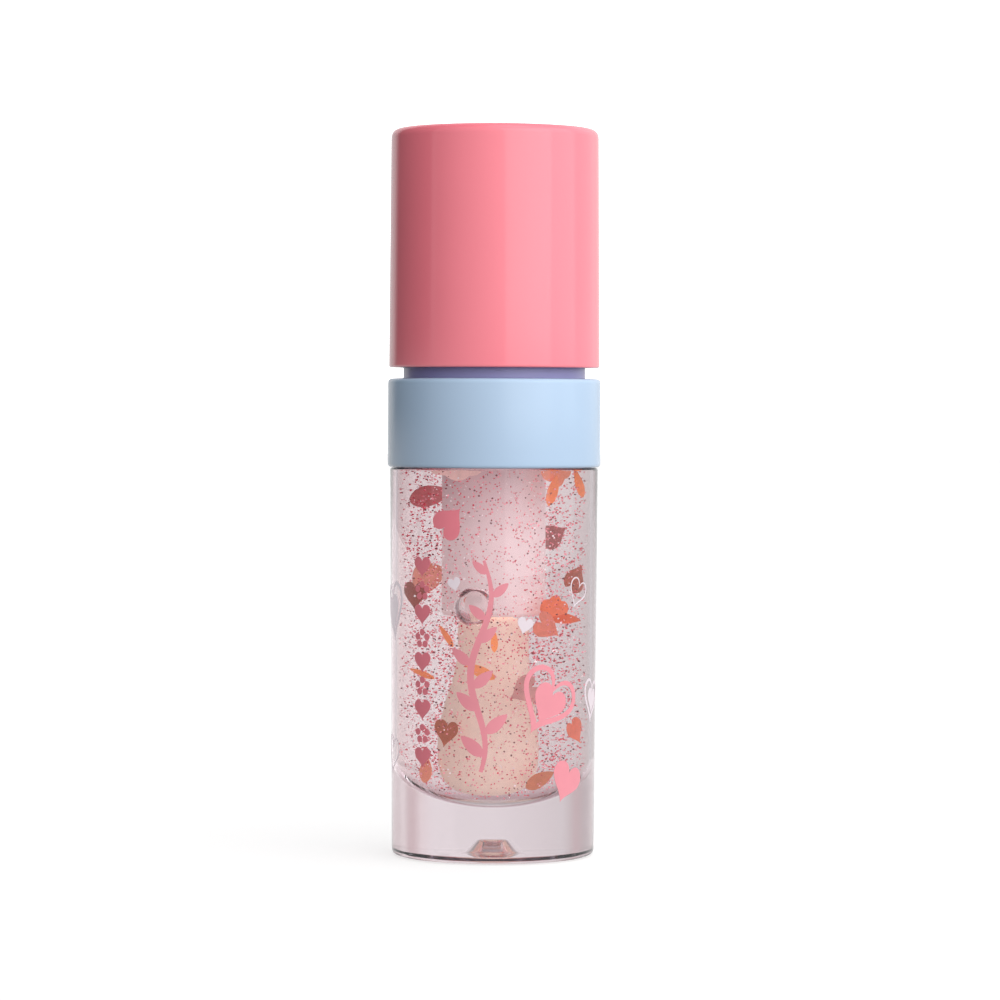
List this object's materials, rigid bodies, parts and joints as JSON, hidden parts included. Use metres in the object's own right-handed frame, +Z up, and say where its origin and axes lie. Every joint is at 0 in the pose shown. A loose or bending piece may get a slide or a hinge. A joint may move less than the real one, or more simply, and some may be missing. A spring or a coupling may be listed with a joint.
{
  "type": "lip gloss tube",
  "caption": "Round clear lip gloss tube with a screw cap, push-fit collar, wiper, applicator wand and gloss with foil hearts and petals.",
  "frame": {"origin": "middle of the base, where the tube stands on its foot ring", "axes": "+Z up along the tube's axis, towards the cap; -Y is the printed front"},
  "size_m": [0.022, 0.022, 0.0752],
  "materials": {
    "clear_bottle": "polished clear plastic",
    "blue_plastic": "gloss",
    "pink_plastic": "high gloss",
    "white_plastic": "satin",
    "frosted_plastic": "satin, translucent",
    "seal_foam": "matt",
    "flock": "short flock on a soft core",
    "gloss_gel": "clear pink gel",
    "foil_dark": "metallic film",
    "foil_brown": "metallic film",
    "foil_copper": "metallic film",
    "foil_orange": "metallic film",
    "foil_salmon": "metallic film",
    "print_pink": "screen print ink",
    "print_white": "screen print ink",
    "glitter_red": "glitter film",
    "glitter_pink": "glitter film",
    "glitter_dark": "glitter film",
    "glitter_silver": "glitter film"
  },
  "bodies": {
    "root": {"bottle": "clear_bottle", "collar": "blue_plastic", "wiper": "white_plastic", "gloss": "gloss_gel", "foil_petal_plum": "foil_dark", "foil_fan_salmon": "foil_salmon", "foil_rose_orange": "foil_orange", "foil_petal_orange": "foil_orange", "foil_petal_amber": "foil_orange", "foil_heart_maroon": "foil_dark", "foil_heart_brown": "foil_brown", "foil_rose_copper": "foil_copper", "foil_petal_rust": "foil_copper", "foil_heart_coral": "foil_salmon", "foil_heart_umber": "foil_dark", "foil_petal_clay": "foil_copper", "foil_sliver_orange": "foil_orange", "foil_sliver_amber": "foil_orange", "foil_petal_peach": "foil_orange", "foil_sliver_peach": "foil_orange", "foil_heart_sienna": "foil_brown", "foil_heart_mauve": "foil_salmon", "foil_heart_salmon": "foil_salmon", "foil_petal_coral": "foil_salmon", "foil_petal_copper": "foil_copper"},
    "seal": {"seal_washer": "seal_foam"},
    "wand": {"stem": "frosted_plastic", "applicator_tip": "flock"},
    "cap": {"cap_shell": "pink_plastic", "inner_cap": "white_plastic"}
  },
  "joints": [
    {"name": "wand_pull", "type": "slide", "parent": "root", "child": "seal", "axis": [0, 0, 1], "range_m": [0, 0.06]},
    {"name": "cap_rise", "type": "slide", "parent": "seal", "child": "wand", "axis": [0, 0, 1], "range_m": [0, 0.00601]},
    {"name": "cap_turn", "type": "hinge", "parent": "wand", "child": "cap", "pos_m": [0, 0, 0.06], "axis": [0, 0, 1], "range_deg": [0, 720]}
  ],
  "couplings": [
    {"joint": "cap_rise", "follows": "cap_turn", "m_per_rad": 0.00047746}
  ]
}
